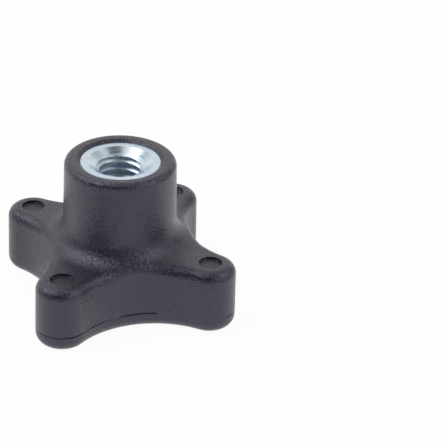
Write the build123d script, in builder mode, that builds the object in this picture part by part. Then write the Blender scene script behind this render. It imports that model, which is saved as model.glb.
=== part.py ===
from build123d import *

import os
from math import atan2, cos, pi, radians, sin, tan

# Star knob: a four-lobed hand grip, moulded in black polyamide round a threaded steel bush.
# Millimetres, +Z up. The knob stands on its crown face, whose centre is the origin. The lobes point along
# +X, +Y, -X and -Y, and the threaded hole opens upwards at the end of the hub.

# Grip: a flat closed crown below, flat lobe undersides above, and one smooth star outline all the way round
lobe_count = 4
grip_diameter = 32.0  # over opposite lobe tips, at the parting plane
lobe_tip_radius = 3.2  # rounding of each tip, seen from above
core_diameter = 17.8  # of the circle that touches the bottom of every finger hollow
grip_height = 8.3
crown_edge_radius = 1.4
underside_edge_radius = 1.3
parting_height = 2.1  # where the two halves of the mould meet, at the grip's widest section
draft = 1.0  # degrees, narrowing upwards from the parting plane

# Hub: a drafted boss that runs into the lobes with a wide flare
knob_height = 18.7
hub_diameter = 13.5  # at its open end
hub_draft = 1.25  # degrees
hub_edge_radius = 0.8
hub_flare_radius = 2.8
mouth_diameter = 10.6  # at the hub's end, narrowing from there to the face of the bush

# Ejector marks: a shallow round print on the underside of each lobe, centred on its rounded tip
mark_diameter = 2.8
mark_depth = 0.3

# Threaded bush: turned from steel bar and zinc-plated. The polyamide that fills its waist holds it in place.
thread_diameter = 6.0  # M6
thread_pitch = 1.0
bush_diameter = 9.6
bush_length = 13.5
bush_recess = 0.35  # from the end of the hub down to the face of the bush
countersink_diameter = 7.9
countersink_angle = 120.0  # degrees, included
bore_depth = 11.0  # full width of the tapping hole, below the face of the bush
drill_point_angle = 118.0  # degrees, included
waist_depth = 0.7
waist_width = 4.0
waist_position = 7.0  # from the face of the bush down to the middle of its waist

grip_radius = grip_diameter / 2
lobe_angle = 2 * pi / lobe_count
tip_centre_distance = grip_radius - lobe_tip_radius
core_radius = core_diameter / 2
half_wall_height = (parting_height + grip_height) / 2
hub_radius = hub_diameter / 2
mouth_radius = mouth_diameter / 2
hub_foot_radius = hub_radius + (knob_height - grip_height) * tan(radians(hub_draft))
bush_radius = bush_diameter / 2
bush_face_height = knob_height - bush_recess
bush_foot_height = bush_face_height - bush_length
tapping_radius = (thread_diameter - thread_pitch) / 2
sink_radius = countersink_diameter / 2
sink_depth = (sink_radius - tapping_radius) / tan(radians(countersink_angle / 2))
drill_point_depth = tapping_radius / tan(radians(drill_point_angle / 2))


def polar(radius, angle):
    """A point in plan, from its distance to the knob's axis and its angle in radians."""
    return Vector(radius * cos(angle), radius * sin(angle))


def hollow_radius():
    """Radius of the finger hollow that runs into both lobe tips beside it without a corner."""
    along = tip_centre_distance * cos(lobe_angle / 2)
    reach = tip_centre_distance**2 + core_radius**2 - 2 * along * core_radius
    return (reach - lobe_tip_radius**2) / (2 * (lobe_tip_radius - core_radius + along))


def star_outline():
    """The grip in plan at the parting plane: a tip arc and a hollow arc for each lobe, all tangent."""
    tip_centre = polar(tip_centre_distance, 0)
    hollow_centre = polar(core_radius + hollow_radius(), lobe_angle / 2)
    joint = tip_centre + (hollow_centre - tip_centre).normalized() * lobe_tip_radius
    joint_distance = joint.length
    joint_angle = atan2(joint.Y, joint.X)
    with BuildSketch(Plane.XY.offset(parting_height)) as outline:
        with BuildLine():
            for lobe in range(lobe_count):
                middle = lobe * lobe_angle
                tip_start = polar(joint_distance, middle - joint_angle)
                tip_end = polar(joint_distance, middle + joint_angle)
                next_tip = polar(joint_distance, middle + lobe_angle - joint_angle)
                deepest = polar(core_radius, middle + lobe_angle / 2)
                ThreePointArc(tip_start, polar(grip_radius, middle), tip_end)
                ThreePointArc(tip_end, deepest, next_tip)
        make_face()
    return outline.sketch


# The blank of the bush, turned with a waist. The hub is moulded round it, so the socket has the same form.
with BuildPart() as bush_blank:
    with BuildSketch(Plane.XZ):
        with BuildLine():
            Polyline(
                (0, bush_foot_height),
                (bush_radius, bush_foot_height),
                (bush_radius, bush_face_height),
                (0, bush_face_height),
                close=True,
            )
        make_face()
        with Locations((bush_radius, bush_face_height - waist_position)):
            Rectangle(2 * waist_depth, waist_width, mode=Mode.SUBTRACT)
    revolve(axis=Axis.Z)

# The finished bush: drilled blind, countersunk, and left at its tapping size
with BuildPart() as threaded_insert:
    add(bush_blank.part)
    with BuildSketch(Plane.XZ):
        with BuildLine():
            Polyline(
                (0, bush_face_height),
                (sink_radius, bush_face_height),
                (tapping_radius, bush_face_height - sink_depth),
                (tapping_radius, bush_face_height - bore_depth),
                (0, bush_face_height - bore_depth - drill_point_depth),
                close=True,
            )
        make_face()
    revolve(axis=Axis.Z, mode=Mode.SUBTRACT)

# The body: above the parting plane, the star column is cut to one turned form, with the flat undersides of
# the lobes, the flared hub that stands on them, and the hub's open mouth. So the flare runs out over the
# finger hollows, flush with their walls.
star = star_outline()
with BuildPart() as knob_body:
    extrude(star, amount=knob_height - parting_height, taper=draft)
    with BuildSketch(Plane.XZ) as turned_form:
        with BuildLine():
            Polyline(
                (0, parting_height),
                (grip_diameter, parting_height),
                (grip_diameter, grip_height),
                (hub_foot_radius, grip_height),
                (hub_radius, knob_height),
                (mouth_radius, knob_height),
                (bush_radius, bush_face_height),
                (0, bush_face_height),
                close=True,
            )
        make_face()
        hub_foot = turned_form.vertices().sort_by_distance((hub_foot_radius, grip_height))[0]
        fillet(hub_foot, hub_flare_radius)
        hub_edge = turned_form.vertices().sort_by_distance((hub_radius, knob_height))[0]
        fillet(hub_edge, hub_edge_radius)
    revolve(axis=Axis.Z, mode=Mode.INTERSECT)

    # The soft upper edge follows the star walls all round, across the lobes and across the foot of the flare.
    # The walls meet each other in straight lines, so the rim is their curved edges above half their height.
    drafted_faces = knob_body.faces().filter_by(GeomType.CONE)
    star_walls = drafted_faces.filter_by_position(Axis.Z, parting_height, grip_height)
    curved_edges = star_walls.edges().filter_by(GeomType.LINE, reverse=True)
    upper_rim = curved_edges.filter_by_position(Axis.Z, half_wall_height, knob_height)
    fillet(upper_rim, underside_edge_radius)

    # The crown half of the mould closes the grip below the parting plane. Its edge is rounded over most of
    # that depth, so it needs no draft.
    extrude(star, amount=-parting_height)
    fillet(knob_body.edges().group_by(Axis.Z)[0], crown_edge_radius)

    # One ejector mark on each lobe
    with BuildSketch(Plane.XY.offset(grip_height)):
        with PolarLocations(tip_centre_distance, lobe_count):
            Circle(mark_diameter / 2)
    extrude(amount=-mark_depth, mode=Mode.SUBTRACT)

    # The socket takes the bush face to face
    add(bush_blank.part, mode=Mode.SUBTRACT)

os.makedirs("parts", exist_ok=True)
knob_body.part.label = "knob_body"
export_step(knob_body.part, "parts/knob_body.step")
threaded_insert.part.label = "threaded_insert"
export_step(threaded_insert.part, "parts/threaded_insert.step")
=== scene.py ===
from math import asin, atan2, cos, degrees, hypot, pi, radians, sin, tan

import bmesh
import bpy
from mathutils import Matrix, Vector


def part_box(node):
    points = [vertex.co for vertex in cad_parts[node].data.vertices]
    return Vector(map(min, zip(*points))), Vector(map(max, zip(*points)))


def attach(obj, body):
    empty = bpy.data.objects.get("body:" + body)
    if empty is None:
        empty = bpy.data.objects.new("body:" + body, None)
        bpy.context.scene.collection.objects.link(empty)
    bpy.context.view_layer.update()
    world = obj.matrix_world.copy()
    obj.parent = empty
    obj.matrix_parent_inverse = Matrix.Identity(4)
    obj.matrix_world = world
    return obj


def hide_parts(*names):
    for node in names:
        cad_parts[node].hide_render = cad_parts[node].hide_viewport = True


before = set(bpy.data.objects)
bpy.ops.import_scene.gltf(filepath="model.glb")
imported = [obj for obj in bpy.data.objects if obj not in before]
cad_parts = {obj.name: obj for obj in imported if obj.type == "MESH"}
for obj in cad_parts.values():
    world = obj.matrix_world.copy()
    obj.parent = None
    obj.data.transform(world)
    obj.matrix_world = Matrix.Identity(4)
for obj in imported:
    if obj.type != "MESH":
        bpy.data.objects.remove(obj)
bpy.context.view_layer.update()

# ----------------------------------------------------------------------------------------------------------
# The body: grip and hub in one moulding of black glass-filled polyamide, made round the steel bush. The
# spark-eroded mould gives a fine matt grain. Its halves leave a hairline that comes and goes round the side,
# and its four ejector pins leave a round print on the underside of each lobe.
# ----------------------------------------------------------------------------------------------------------

MM = 0.001

body_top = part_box("knob_body")[1] / MM
bush_low, bush_high = [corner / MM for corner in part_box("threaded_insert")]

lobe_count = 4
grip_radius = body_top.x
lobe_tip_radius = 3.2
tip_centre_distance = grip_radius - lobe_tip_radius
core_radius = 8.9  # from the axis to the bottom of a finger hollow
grip_height = 8.3
crown_edge_radius = 1.4
underside_edge_radius = 1.3
wall_top = grip_height - underside_edge_radius
parting_height = 2.1
draft = radians(1.0)  # above the parting plane only

seam_half_width = 0.09
seam_depth = 0.15
seam_fade = 3.0  # degrees
seam_stretches = [  # where the hairline shows: from and to, in degrees round the axis, and its share of depth
    (-97, -80, 0.35),
    (-84, -62, 1.1),
    (-60, -29, 1.0),
    (-6, 2, 1.0),
    (24, 58, 0.9),
    (76, 83, 0.5),
    (104, 151, 1.0),
    (174, 186, 0.6),
    (206, 243, 0.8),
]

knob_height = body_top.z
hub_radius = 6.75
hub_draft = radians(1.25)
hub_edge_radius = 0.8
hub_flare_radius = 2.8
mouth_radius = 5.3
mouth_edge_radius = 0.15

mark_radius = 1.4
mark_depth = 0.3
mark_corner = 0.04  # the edge of a pin is never quite sharp
pin_clearance = 0.2  # how far a pin stands out of the lobe

bush_radius = bush_high.x
bush_face = bush_high.z
bush_foot = bush_low.z
waist_depth = 0.7
waist_width = 4.0
waist_middle = bush_face - 7.0
waist_top = waist_middle + waist_width / 2
waist_bottom = waist_middle - waist_width / 2
waist_radius = bush_radius - waist_depth

moulded_corner = radians(30)  # a bend of more than this between two faces is shaded as an edge


def star_stations():
    """Points round the star outline at the parting plane, each with its outward direction in plan."""
    half_lobe = pi / lobe_count
    along = tip_centre_distance * cos(half_lobe)
    hollow_radius = tip_centre_distance**2 + core_radius**2 - 2 * along * core_radius - lobe_tip_radius**2
    hollow_radius /= 2 * (lobe_tip_radius - core_radius + along)
    hollow_centre = (core_radius + hollow_radius) * Vector((cos(half_lobe), sin(half_lobe)))
    spread = atan2(hollow_centre.y, hollow_centre.x - tip_centre_distance)  # where tip and hollow meet
    swing = spread - half_lobe
    tip_steps, hollow_steps = 40, 56
    found = []
    for lobe in range(lobe_count):
        turn = 2 * half_lobe * lobe
        tip_centre = Vector((tip_centre_distance * cos(turn), tip_centre_distance * sin(turn)))
        for i in range(tip_steps):
            angle = turn - spread + 2 * spread * i / tip_steps
            out = Vector((cos(angle), sin(angle)))
            found.append((tip_centre + lobe_tip_radius * out, out))
        turn += half_lobe
        centre = (core_radius + hollow_radius) * Vector((cos(turn), sin(turn)))
        for i in range(hollow_steps):
            angle = turn + swing - 2 * swing * i / hollow_steps
            out = Vector((cos(angle), sin(angle)))
            found.append((centre - hollow_radius * out, out))
    return found


def star_ring(stations, inset, height):
    """The star outline drawn in by inset, which is one length or one for each station."""
    insets = inset if isinstance(inset, list) else [inset] * len(stations)
    return [(*(point - out * d), height) for (point, out), d in zip(stations, insets)]


def circle(radius, height, angles):
    """A ring round the knob's axis."""
    return [(radius * cos(a), radius * sin(a), height) for a in angles]


def seam_depth_at(angle):
    """Depth of the hairline at an angle round the axis. It fades in and out at the ends of each stretch."""
    deepest = 0
    for start, end, share in seam_stretches:
        half = (end - start) / 2
        off_middle = abs((degrees(angle) - start - half + 180) % 360 - 180)
        deepest = max(deepest, seam_depth * share * min(max((half - off_middle) / seam_fade, 0), 1))
    return deepest


def side_rings(stations):
    """Out over the crown and its rounded edge, then up the drafted wall across the mould's seam."""
    crown_steps, wall_steps = 14, 8
    rings = []
    flat_edge = star_ring(stations, crown_edge_radius, 0)
    for share in (0.1, 0.3, 0.5, 0.7, 0.9):
        rings.append([(x * share, y * share, 0) for x, y, z in flat_edge])
    for i in range(crown_steps + 1):
        a = pi / 2 * i / crown_steps
        rings.append(star_ring(stations, crown_edge_radius * (1 - sin(a)), crown_edge_radius * (1 - cos(a))))

    depths = [seam_depth_at(atan2(point.y, point.x)) for point, out in stations]
    rings.append(star_ring(stations, 0, parting_height - seam_half_width))
    rings.append(star_ring(stations, depths, parting_height))
    rings.append(star_ring(stations, seam_half_width * tan(draft), parting_height + seam_half_width))
    for i in range(1, wall_steps):
        height = parting_height + (wall_top - parting_height) * i / wall_steps
        rings.append(star_ring(stations, (height - parting_height) * tan(draft), height))
    return rings


def flare_rings(stations):
    """The soft upper edge, the undersides of the lobes, and the flare that runs up into the hub."""
    edge_steps, flare_steps = 16, 36
    rings = []
    slope = tan(pi / 4 + hub_draft / 2)
    foot = hub_radius + (knob_height - grip_height) * tan(hub_draft) + hub_flare_radius / slope
    inset = (wall_top - parting_height) * tan(draft) + underside_edge_radius
    flare_height = grip_height + hub_flare_radius

    # the edge is a ball rolled along the wall, which also touches the underside or, over a hollow, the flare
    edge = []
    for point, out in stations:
        middle = point - out * inset
        height, up = wall_top, Vector((0, 0, 1))
        if middle.length < foot:
            both = hub_flare_radius + underside_edge_radius
            height = flare_height - (both**2 - (foot - middle.length) ** 2) ** 0.5
            hinge = middle.normalized() * foot
            up = Vector((hinge.x - middle.x, hinge.y - middle.y, flare_height - height)).normalized()
        edge.append((Vector((*middle, height)), Vector((*out, 0)), up))
    for i in range(edge_steps + 1):
        share = i / edge_steps
        rings.append([middle + underside_edge_radius * out.slerp(up, share) for middle, out, up in edge])

    # from the edge, each line runs straight at the axis: first level, then up the quarter circle of the flare
    rim = rings[-1]
    full_swing = pi / 2 - hub_draft
    for i in range(1, flare_steps + 1):
        ring = []
        for point in rim:
            distance = hypot(point.x, point.y)
            level = max(distance - foot, 0)
            start = asin((foot - distance) / hub_flare_radius) if distance < foot else 0
            way = (level + hub_flare_radius * (full_swing - start)) * i / flare_steps
            radius, height = distance - way, grip_height
            if way > level:
                swing = start + (way - level) / hub_flare_radius
                radius = foot - hub_flare_radius * sin(swing)
                height = flare_height - hub_flare_radius * cos(swing)
            ring.append((radius * point.x / distance, radius * point.y / distance, height))
        rings.append(ring)
    return rings


def hub_rings(angles):
    """Up the hub, over its rounded end, and down into the socket that grips the bush by its waist."""
    side_steps, edge_steps, mouth_steps = 6, 12, 5
    rings = []
    side_low = grip_height + hub_flare_radius * (1 - sin(hub_draft))
    side_high = knob_height - hub_edge_radius
    for i in range(1, side_steps + 1):
        height = side_low + (side_high - side_low) * i / side_steps
        rings.append(circle(hub_radius + (knob_height - height) * tan(hub_draft), height, angles))
    for i in range(1, edge_steps + 1):
        a = pi / 2 * i / edge_steps
        radius = hub_radius + hub_edge_radius * (tan(hub_draft) - 1 + cos(a))
        rings.append(circle(radius, side_high + hub_edge_radius * sin(a), angles))
    # the mouth narrows to the face of the bush, and its edge is just broken
    slope = atan2(knob_height - bush_face, mouth_radius - bush_radius)
    setback = mouth_edge_radius * tan(slope / 2)
    for i in range(mouth_steps + 1):
        a = slope * i / mouth_steps
        radius = mouth_radius + setback - mouth_edge_radius * sin(a)
        rings.append(circle(radius, knob_height - mouth_edge_radius * (1 - cos(a)), angles))
    socket = [(bush_radius, bush_face), (bush_radius, waist_top), (waist_radius, waist_top)]
    socket += [(waist_radius, waist_bottom), (bush_radius, waist_bottom), (bush_radius, bush_foot)]
    rings += [circle(radius, height, angles) for radius, height in socket]
    return rings


def closed_mesh(name, rings):
    """A closed mesh over a stack of rings in millimetres, with a fan over the first and the last ring."""
    bm = bmesh.new()
    rows = [[bm.verts.new(Vector(point) * MM) for point in ring] for ring in rings]
    count = len(rows[0])
    for lower, upper in zip(rows[:-1], rows[1:]):
        for i in range(count):
            j = (i + 1) % count
            bm.faces.new((lower[i], lower[j], upper[j], upper[i]))
    for row in (rows[0], rows[-1]):
        middle = bm.verts.new(sum((vertex.co for vertex in row), Vector()) / count)
        for i in range(count):
            bm.faces.new((middle, row[i], row[(i + 1) % count]))
    bmesh.ops.recalc_face_normals(bm, faces=bm.faces)
    mesh = bpy.data.meshes.new(name)
    bm.to_mesh(mesh)
    bm.free()
    mesh.shade_smooth()
    mesh.set_sharp_from_angle(angle=moulded_corner)
    piece = bpy.data.objects.new(name, mesh)
    bpy.context.scene.collection.objects.link(piece)
    return piece


def moulded_body():
    """The whole moulding, before the ejector pins leave their prints."""
    stations = star_stations()
    rings = side_rings(stations) + flare_rings(stations)
    angles = [atan2(y, x) for x, y, z in rings[-1]]
    return closed_mesh("moulded_body", rings + hub_rings(angles))


def print_ejector_marks(piece):
    """Sinks the prints of the four ejector pins into the lobes, each at the centre of a rounded tip."""
    around = 64
    angles = [2 * pi * (i + 0.3) / around for i in range(around)]  # none falls on a line of the body's mesh
    pin = [
        (mark_radius - mark_corner, -mark_depth),
        (mark_radius, -mark_depth + mark_corner),
        (mark_radius, pin_clearance),
    ]
    for lobe in range(lobe_count):
        turn = 2 * pi * lobe / lobe_count
        tool = closed_mesh("ejector_pin", [circle(radius, grip_height + z, angles) for radius, z in pin])
        tool.location = tip_centre_distance * Vector((cos(turn), sin(turn), 0)) * MM
        cut = piece.modifiers.new("mark", "BOOLEAN")
        cut.operation = "DIFFERENCE"
        cut.solver = "EXACT"
        cut.object = tool
        bpy.context.view_layer.update()
        marked = piece.evaluated_get(bpy.context.evaluated_depsgraph_get())
        marked_mesh = bpy.data.meshes.new_from_object(marked)
        piece.modifiers.clear()
        piece.data = marked_mesh
        bpy.data.objects.remove(tool)
    bm = bmesh.new()
    bm.from_mesh(piece.data)
    bmesh.ops.remove_doubles(bm, verts=bm.verts, dist=0.0002 * MM)
    bm.to_mesh(piece.data)
    bm.free()
    piece.data.set_sharp_from_angle(angle=moulded_corner)


body = moulded_body()
print_ejector_marks(body)


def linear(code):
    """A #RRGGBB colour as the linear values that a shader takes."""
    shares = [int(code[i : i + 2], 16) / 255 for i in (1, 3, 5)]
    return (*[s / 12.92 if s <= 0.04045 else ((s + 0.055) / 1.055) ** 2.4 for s in shares], 1)


def add(tree, kind, settings=None, **inputs):
    """Adds a node. An input goes by its label, or i0, i1 by its place, and is a value or a socket to link."""
    node = tree.nodes.new(kind)
    for key, value in (settings or {}).items():
        setattr(node, key, value)
    for key, value in inputs.items():
        socket = node.inputs[int(key[1:])] if key[1:].isdigit() else node.inputs[key.replace("_", " ")]
        if isinstance(value, bpy.types.NodeSocket):
            tree.links.new(value, socket)
        else:
            socket.default_value = value
    return node


def set_stops(ramp, stops):
    """Gives a colour ramp its stops, each a position and a colour, in rising order."""
    elements = ramp.color_ramp.elements
    for element, (position, colour) in zip(elements, (stops[0], stops[-1])):
        element.position = position
        element.color = colour
    for position, colour in stops[1:-1]:
        elements.new(position).color = colour


def material(name):
    """An empty material to build nodes in."""
    made = bpy.data.materials.new(name)
    made.use_nodes = True
    made.node_tree.nodes.clear()
    return made


# Polyamide 6 with glass fibre, dyed black all through. Spark erosion leaves shallow craters on the skin,
# which turn every highlight into a band of fine glints. Fibre near the skin clouds the sheen, and the black
# has a cold cast.
polyamide = material("polyamide_black_spark_eroded")
tree = polyamide.node_tree
where = add(tree, "ShaderNodeTexCoord").outputs["Object"]
crater_width = 0.23 * MM  # real craters are 0.05 mm wide, drawn coarser so that they show
crater_depth = 0.12 * MM
cloud_width = 3.0 * MM
craters = add(tree, "ShaderNodeTexNoise", Vector=where, Scale=1 / crater_width, Detail=2.0)
clouds = add(tree, "ShaderNodeTexNoise", Vector=where, Scale=1 / cloud_width, Detail=4.0, Roughness=0.6)
skin = add(tree, "ShaderNodeBump", Strength=1.0, Distance=crater_depth, Height=craters.outputs["Fac"])
black = add(tree, "ShaderNodeValToRGB", Fac=clouds.outputs["Fac"])
set_stops(black, [(0.3, linear("#15151E")), (0.7, linear("#1D1E29"))])
sheen = add(
    tree,
    "ShaderNodeMapRange",
    Value=clouds.outputs["Fac"],
    From_Min=0.3,
    From_Max=0.7,
    To_Min=0.22,
    To_Max=0.3,
)
shader = add(
    tree,
    "ShaderNodeBsdfPrincipled",
    Base_Color=black.outputs["Color"],
    Roughness=sheen.outputs["Result"],
    IOR=1.6,
    Specular_IOR_Level=0.66,  # fibre just under the skin makes the sheen a little stronger
    Specular_Tint=linear("#EAEBFF"),
    Normal=skin.outputs["Normal"],
)
add(tree, "ShaderNodeOutputMaterial", Surface=shader.outputs[0])
body.data.materials.clear()
body.data.materials.append(polyamide)
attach(body, "root")
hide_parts("knob_body")

# ----------------------------------------------------------------------------------------------------------
# The bush: turned from steel bar, drilled, countersunk and tapped M6, then zinc-plated with a bluish
# passivation. The body was moulded round it, and grips it by the waist.
# ----------------------------------------------------------------------------------------------------------

thread_radius = 3.03  # a tap cuts a little over size
pitch = 1.0
crest_radius = 2.57  # at the large end of the 6H tolerance
tapping_radius = 2.5
sink_radius = 3.95
sink_slope = tan(radians(60))  # half the countersink's angle
bore_floor = bush_face - 11.0
drill_tip = bore_floor - tapping_radius / tan(radians(59))  # half the drill point's angle
turned_corner = radians(25)  # keeps the rim of the countersink crisp
thread_section = [  # the 60 degree profile over one pitch: share of the pitch, and radius
    (0.0, crest_radius),
    (0.25, crest_radius),
    (0.5625, thread_radius),
    (0.6875, thread_radius),
    (1.0, crest_radius),
]


def thread_radius_at(share):
    """Radius of the thread at a share of one pitch, from crest to root and back."""
    for (low, low_radius), (high, high_radius) in zip(thread_section[:-1], thread_section[1:]):
        if share <= high:
            return low_radius + (high_radius - low_radius) * (share - low) / (high - low)


def tapped_wall(angles):
    """Rings that climb with the helix from the floor of the bore to the countersink."""
    rows_per_turn = 16
    turns = int((bush_face - bore_floor) / pitch + 2)
    rings = []
    for row in range(turns * rows_per_turn + 1):
        full = thread_radius_at(row % rows_per_turn / rows_per_turn)
        ring = []
        for i in range(len(angles) + 1):
            a = 2 * pi * i / len(angles)
            height = bore_floor + pitch * (row / rows_per_turn + i / len(angles) - 1)
            height = min(max(height, bore_floor), bush_face)
            # the tap's lead leaves half a pitch plain at the floor, and reaches full depth a pitch higher
            cut = min(max((height - bore_floor) / pitch - 0.5, 0), 1)
            radius = tapping_radius + (full - tapping_radius) * cut
            radius = max(radius, sink_radius - sink_slope * (bush_face - height))
            ring.append(Vector((radius * cos(a), radius * sin(a), height)) * MM)
        rings.append(ring)
    return rings


def turned_bush():
    """The bush in one closed mesh: its tapped wall, then its outside, then the point of the drill."""
    around = 144
    angles = [2 * pi * i / around for i in range(around)]
    bm = bmesh.new()

    def join_rows(rows, closed):
        for lower, upper in zip(rows[:-1], rows[1:]):
            for i in range(around):
                j = (i + 1) % around if closed else i + 1
                bm.faces.new((lower[i], lower[j], upper[j], upper[i]))

    join_rows([[bm.verts.new(p) for p in ring] for ring in tapped_wall(angles)], False)
    outside = [
        (sink_radius, bush_face),
        (bush_radius, bush_face),
        (bush_radius, waist_top),
        (waist_radius, waist_top),
        (waist_radius, waist_bottom),
        (bush_radius, waist_bottom),
        (bush_radius, bush_foot),
    ]
    for profile, end in ((outside, bush_foot), ([(tapping_radius, bore_floor)], drill_tip)):
        rows = [[bm.verts.new(Vector(p) * MM) for p in circle(r, z, angles)] for r, z in profile]
        join_rows(rows, True)
        middle = bm.verts.new((0, 0, end * MM))
        for i in range(around):
            bm.faces.new((rows[-1][i], rows[-1][(i + 1) % around], middle))
    bmesh.ops.remove_doubles(bm, verts=bm.verts, dist=0.0001 * MM)
    bmesh.ops.dissolve_degenerate(bm, edges=bm.edges, dist=0.00001 * MM)
    bmesh.ops.recalc_face_normals(bm, faces=bm.faces)
    mesh = bpy.data.meshes.new("turned_bush")
    bm.to_mesh(mesh)
    bm.free()
    mesh.shade_smooth()
    mesh.set_sharp_from_angle(angle=turned_corner)
    piece = bpy.data.objects.new("turned_bush", mesh)
    bpy.context.scene.collection.objects.link(piece)
    return piece


bush = turned_bush()

# Zinc over turned steel. The tool's feed leaves fine rings, which comb the reflections round the axis, and
# the thin blue passivation drifts from bluish white to a faint straw tint.
zinc = material("steel_turned_zinc_plated_blue")
tree = zinc.node_tree
where = add(tree, "ShaderNodeTexCoord").outputs["Object"]
ring_width = 0.1 * MM  # a fine feed is 0.05 mm a turn, drawn coarser so that it shows
ring_depth = 0.004 * MM
stain_width = 1.5 * MM
torn_edge = 0.1 * MM
flat = add(tree, "ShaderNodeVectorMath", {"operation": "MULTIPLY"}, i0=where, i1=(1, 1, 0)).outputs[0]
radius = add(tree, "ShaderNodeVectorMath", {"operation": "LENGTH"}, i0=flat).outputs["Value"]
depth = add(tree, "ShaderNodeSeparateXYZ", Vector=where).outputs["Z"]
section = add(tree, "ShaderNodeCombineXYZ", X=radius, Y=depth).outputs[0]
turning = add(
    tree,
    "ShaderNodeTexNoise",
    {"noise_dimensions": "2D"},
    Vector=section,
    Scale=1 / ring_width,
    Detail=2.0,
)
stains = add(tree, "ShaderNodeTexNoise", Vector=where, Scale=1 / stain_width, Detail=3.0, Roughness=0.6)
feed = add(tree, "ShaderNodeBump", Strength=1.0, Distance=ring_depth, Height=turning.outputs["Fac"])
plating = add(tree, "ShaderNodeValToRGB", Fac=stains.outputs["Fac"])
set_stops(plating, [(0.35, linear("#CBDEF0")), (0.68, linear("#E0E8EC"))])
polish = add(
    tree,
    "ShaderNodeMapRange",
    Value=turning.outputs["Fac"],
    From_Min=0.3,
    From_Max=0.7,
    To_Min=0.16,
    To_Max=0.3,
)
torn = add(
    tree,
    "ShaderNodeMapRange",
    Value=radius,
    From_Min=thread_radius * MM,
    From_Max=thread_radius * MM + torn_edge,
    To_Min=0.12,  # a tap tears the steel a little, so the thread is duller
    To_Max=0.0,
)
gloss = add(
    tree,
    "ShaderNodeMath",
    {"operation": "ADD"},
    i0=polish.outputs["Result"],
    i1=torn.outputs["Result"],
)
shader = add(
    tree,
    "ShaderNodeBsdfPrincipled",
    Base_Color=plating.outputs["Color"],
    Metallic=1.0,
    Roughness=gloss.outputs[0],
    Normal=feed.outputs["Normal"],
)
add(tree, "ShaderNodeOutputMaterial", Surface=shader.outputs[0])
bush.data.materials.append(zinc)
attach(bush, "root")
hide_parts("threaded_insert")

# ----------------------------------------------------------------------------------------------------------
# The studio: a white sweep that keeps the knob's shadow, soft light all round, and the camera.
# ----------------------------------------------------------------------------------------------------------

sweep_mesh = bpy.data.meshes.new("sweep")
sweep_mesh.from_pydata([(-1, -1, 0), (1, -1, 0), (1, 1, 0), (-1, 1, 0)], [], [(0, 1, 2, 3)])
sweep = bpy.data.objects.new("sweep", sweep_mesh)
bpy.context.scene.collection.objects.link(sweep)
paper = material("paper_white_sweep")
tree = paper.node_tree
larger = {"operation": "MAXIMUM"}
times = {"operation": "MULTIPLY"}
rays = add(tree, "ShaderNodeLightPath").outputs
direct = add(tree, "ShaderNodeMath", larger, i0=rays["Is Camera Ray"], i1=rays["Is Glossy Ray"])
seen = add(tree, "ShaderNodeMath", larger, i0=direct.outputs[0], i1=rays["Is Transmission Ray"])
lifted = add(tree, "ShaderNodeMath", times, i0=seen.outputs[0], i1=0.95)  # what is left takes the shadow
matt = add(tree, "ShaderNodeBsdfDiffuse", Color=linear("#E8E9EE"))
glow = add(tree, "ShaderNodeEmission", Color=(1, 1, 1, 1), Strength=1.0)
mixed = add(tree, "ShaderNodeMixShader", i0=lifted.outputs[0], i1=matt.outputs[0], i2=glow.outputs[0])
add(tree, "ShaderNodeOutputMaterial", Surface=mixed.outputs[0])
sweep_mesh.materials.append(paper)

# In its gloss the knob shows a white backdrop that runs round behind it to both sides, and a dark room on the
# viewer's side and overhead. A black card keeps the right side of the hub from going flat.
backdrop_heading = radians(85)
backdrop_way = (cos(backdrop_heading), sin(backdrop_heading), 0)
card_heading = radians(38)
card_way = (cos(card_heading), sin(card_heading), 0)
world = bpy.data.worlds.new("studio")
bpy.context.scene.world = world
world.use_nodes = True
tree = world.node_tree
tree.nodes.clear()
towards = {"operation": "DOT_PRODUCT"}
rays = add(tree, "ShaderNodeLightPath").outputs
direction = add(tree, "ShaderNodeTexCoord").outputs["Generated"]
overhead = add(tree, "ShaderNodeSeparateXYZ", Vector=direction).outputs["Z"]
facing = add(tree, "ShaderNodeVectorMath", towards, i0=direction, i1=backdrop_way).outputs["Value"]
behind = add(tree, "ShaderNodeMapRange", Value=facing, From_Min=-0.7, From_Max=0.0, To_Min=0.12, To_Max=1.0)
falling = add(tree, "ShaderNodeValToRGB", Fac=overhead)
greys = [(0.0, 1.0), (0.45, 0.88), (0.64, 0.55), (0.77, 0.28), (0.9, 0.11), (1.0, 0.1)]
set_stops(falling, [(position, (grey, grey, grey, 1)) for position, grey in greys])
lit = add(tree, "ShaderNodeMath", times, i0=falling.outputs["Color"], i1=behind.outputs["Result"])
beside = add(tree, "ShaderNodeVectorMath", towards, i0=direction, i1=card_way).outputs["Value"]
card = add(tree, "ShaderNodeMapRange", Value=beside, From_Min=0.62, From_Max=0.85, To_Min=1.0, To_Max=0.15)
shown = add(tree, "ShaderNodeMath", times, i0=lit.outputs[0], i1=card.outputs["Result"])
plain = add(tree, "ShaderNodeBackground", Color=(1, 1, 1, 1), Strength=0.5)
white = add(tree, "ShaderNodeBackground", Color=(1, 1, 1, 1), Strength=1.0)
shaped = add(tree, "ShaderNodeBackground", Color=(1, 1, 1, 1), Strength=shown.outputs[0])
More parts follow.
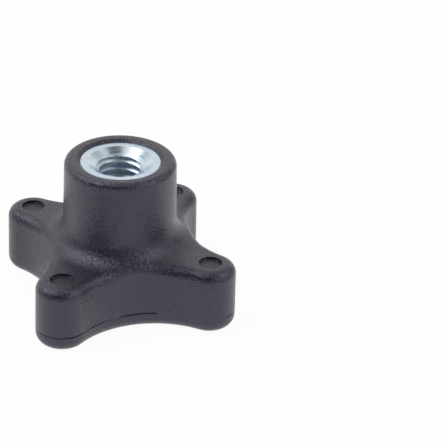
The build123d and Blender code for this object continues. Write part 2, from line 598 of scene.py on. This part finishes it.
either = add(tree, "ShaderNodeMath", larger, i0=rays["Is Glossy Ray"], i1=rays["Is Transmission Ray"])
mirror = add(tree, "ShaderNodeMixShader", i0=either.outputs[0], i1=plain.outputs[0], i2=shaped.outputs[0])
mixed = add(tree, "ShaderNodeMixShader", i0=rays["Is Camera Ray"], i1=mirror.outputs[0], i2=white.outputs[0])
add(tree, "ShaderNodeOutputWorld", Surface=mixed.outputs[0])

softbox_distance = 0.45


def softbox(name, heading, elevation, width, power):
    """A square soft light aimed at the knob from a direction given in degrees."""
    lamp = bpy.data.lights.new(name, "AREA")
    lamp.energy = power
    lamp.size = width
    holder = bpy.data.objects.new(name, lamp)
    turn, rise = radians(heading), radians(elevation)
    holder.location = softbox_distance * Vector((cos(rise) * cos(turn), cos(rise) * sin(turn), sin(rise)))
    holder.rotation_mode = "QUATERNION"
    holder.rotation_quaternion = (-holder.location).to_track_quat("-Z", "Y")
    bpy.context.scene.collection.objects.link(holder)


softbox("softbox_left", -148, 54, 0.24, 0.78)
softbox("softbox_right", 16, 38, 0.24, 0.5)
softbox("softbox_back_left", 194, 70, 0.28, 0.18)
softbox("softbox_back", 118, 56, 0.2, 0.15)
softbox("softbox_back_right", 48, 56, 0.2, 0.09)

heading, elevation, roll = radians(27.87), radians(29.84), radians(-2.5)
distance = 0.221
across, above = -0.01287, -0.00861  # where the middle of the crown lies from the middle of the view
sideways = Vector((cos(heading), sin(heading), 0))
forward = Vector((-sin(heading) * cos(elevation), cos(heading) * cos(elevation), -sin(elevation)))
upward = sideways.cross(forward)
side = sideways * cos(roll) - upward * sin(roll)
top = sideways * sin(roll) + upward * cos(roll)
lens = bpy.data.cameras.new("camera")
lens.lens = 143.16
lens.sensor_width = 36
lens.clip_start = 0.01
camera = bpy.data.objects.new("camera", lens)
place = Matrix.Translation(-(side * across + top * above + forward * distance))
camera.matrix_world = place @ Matrix((side, top, -forward)).transposed().to_4x4()
bpy.context.scene.collection.objects.link(camera)
bpy.context.scene.camera = camera
bpy.context.scene.view_settings.view_transform = "Standard"
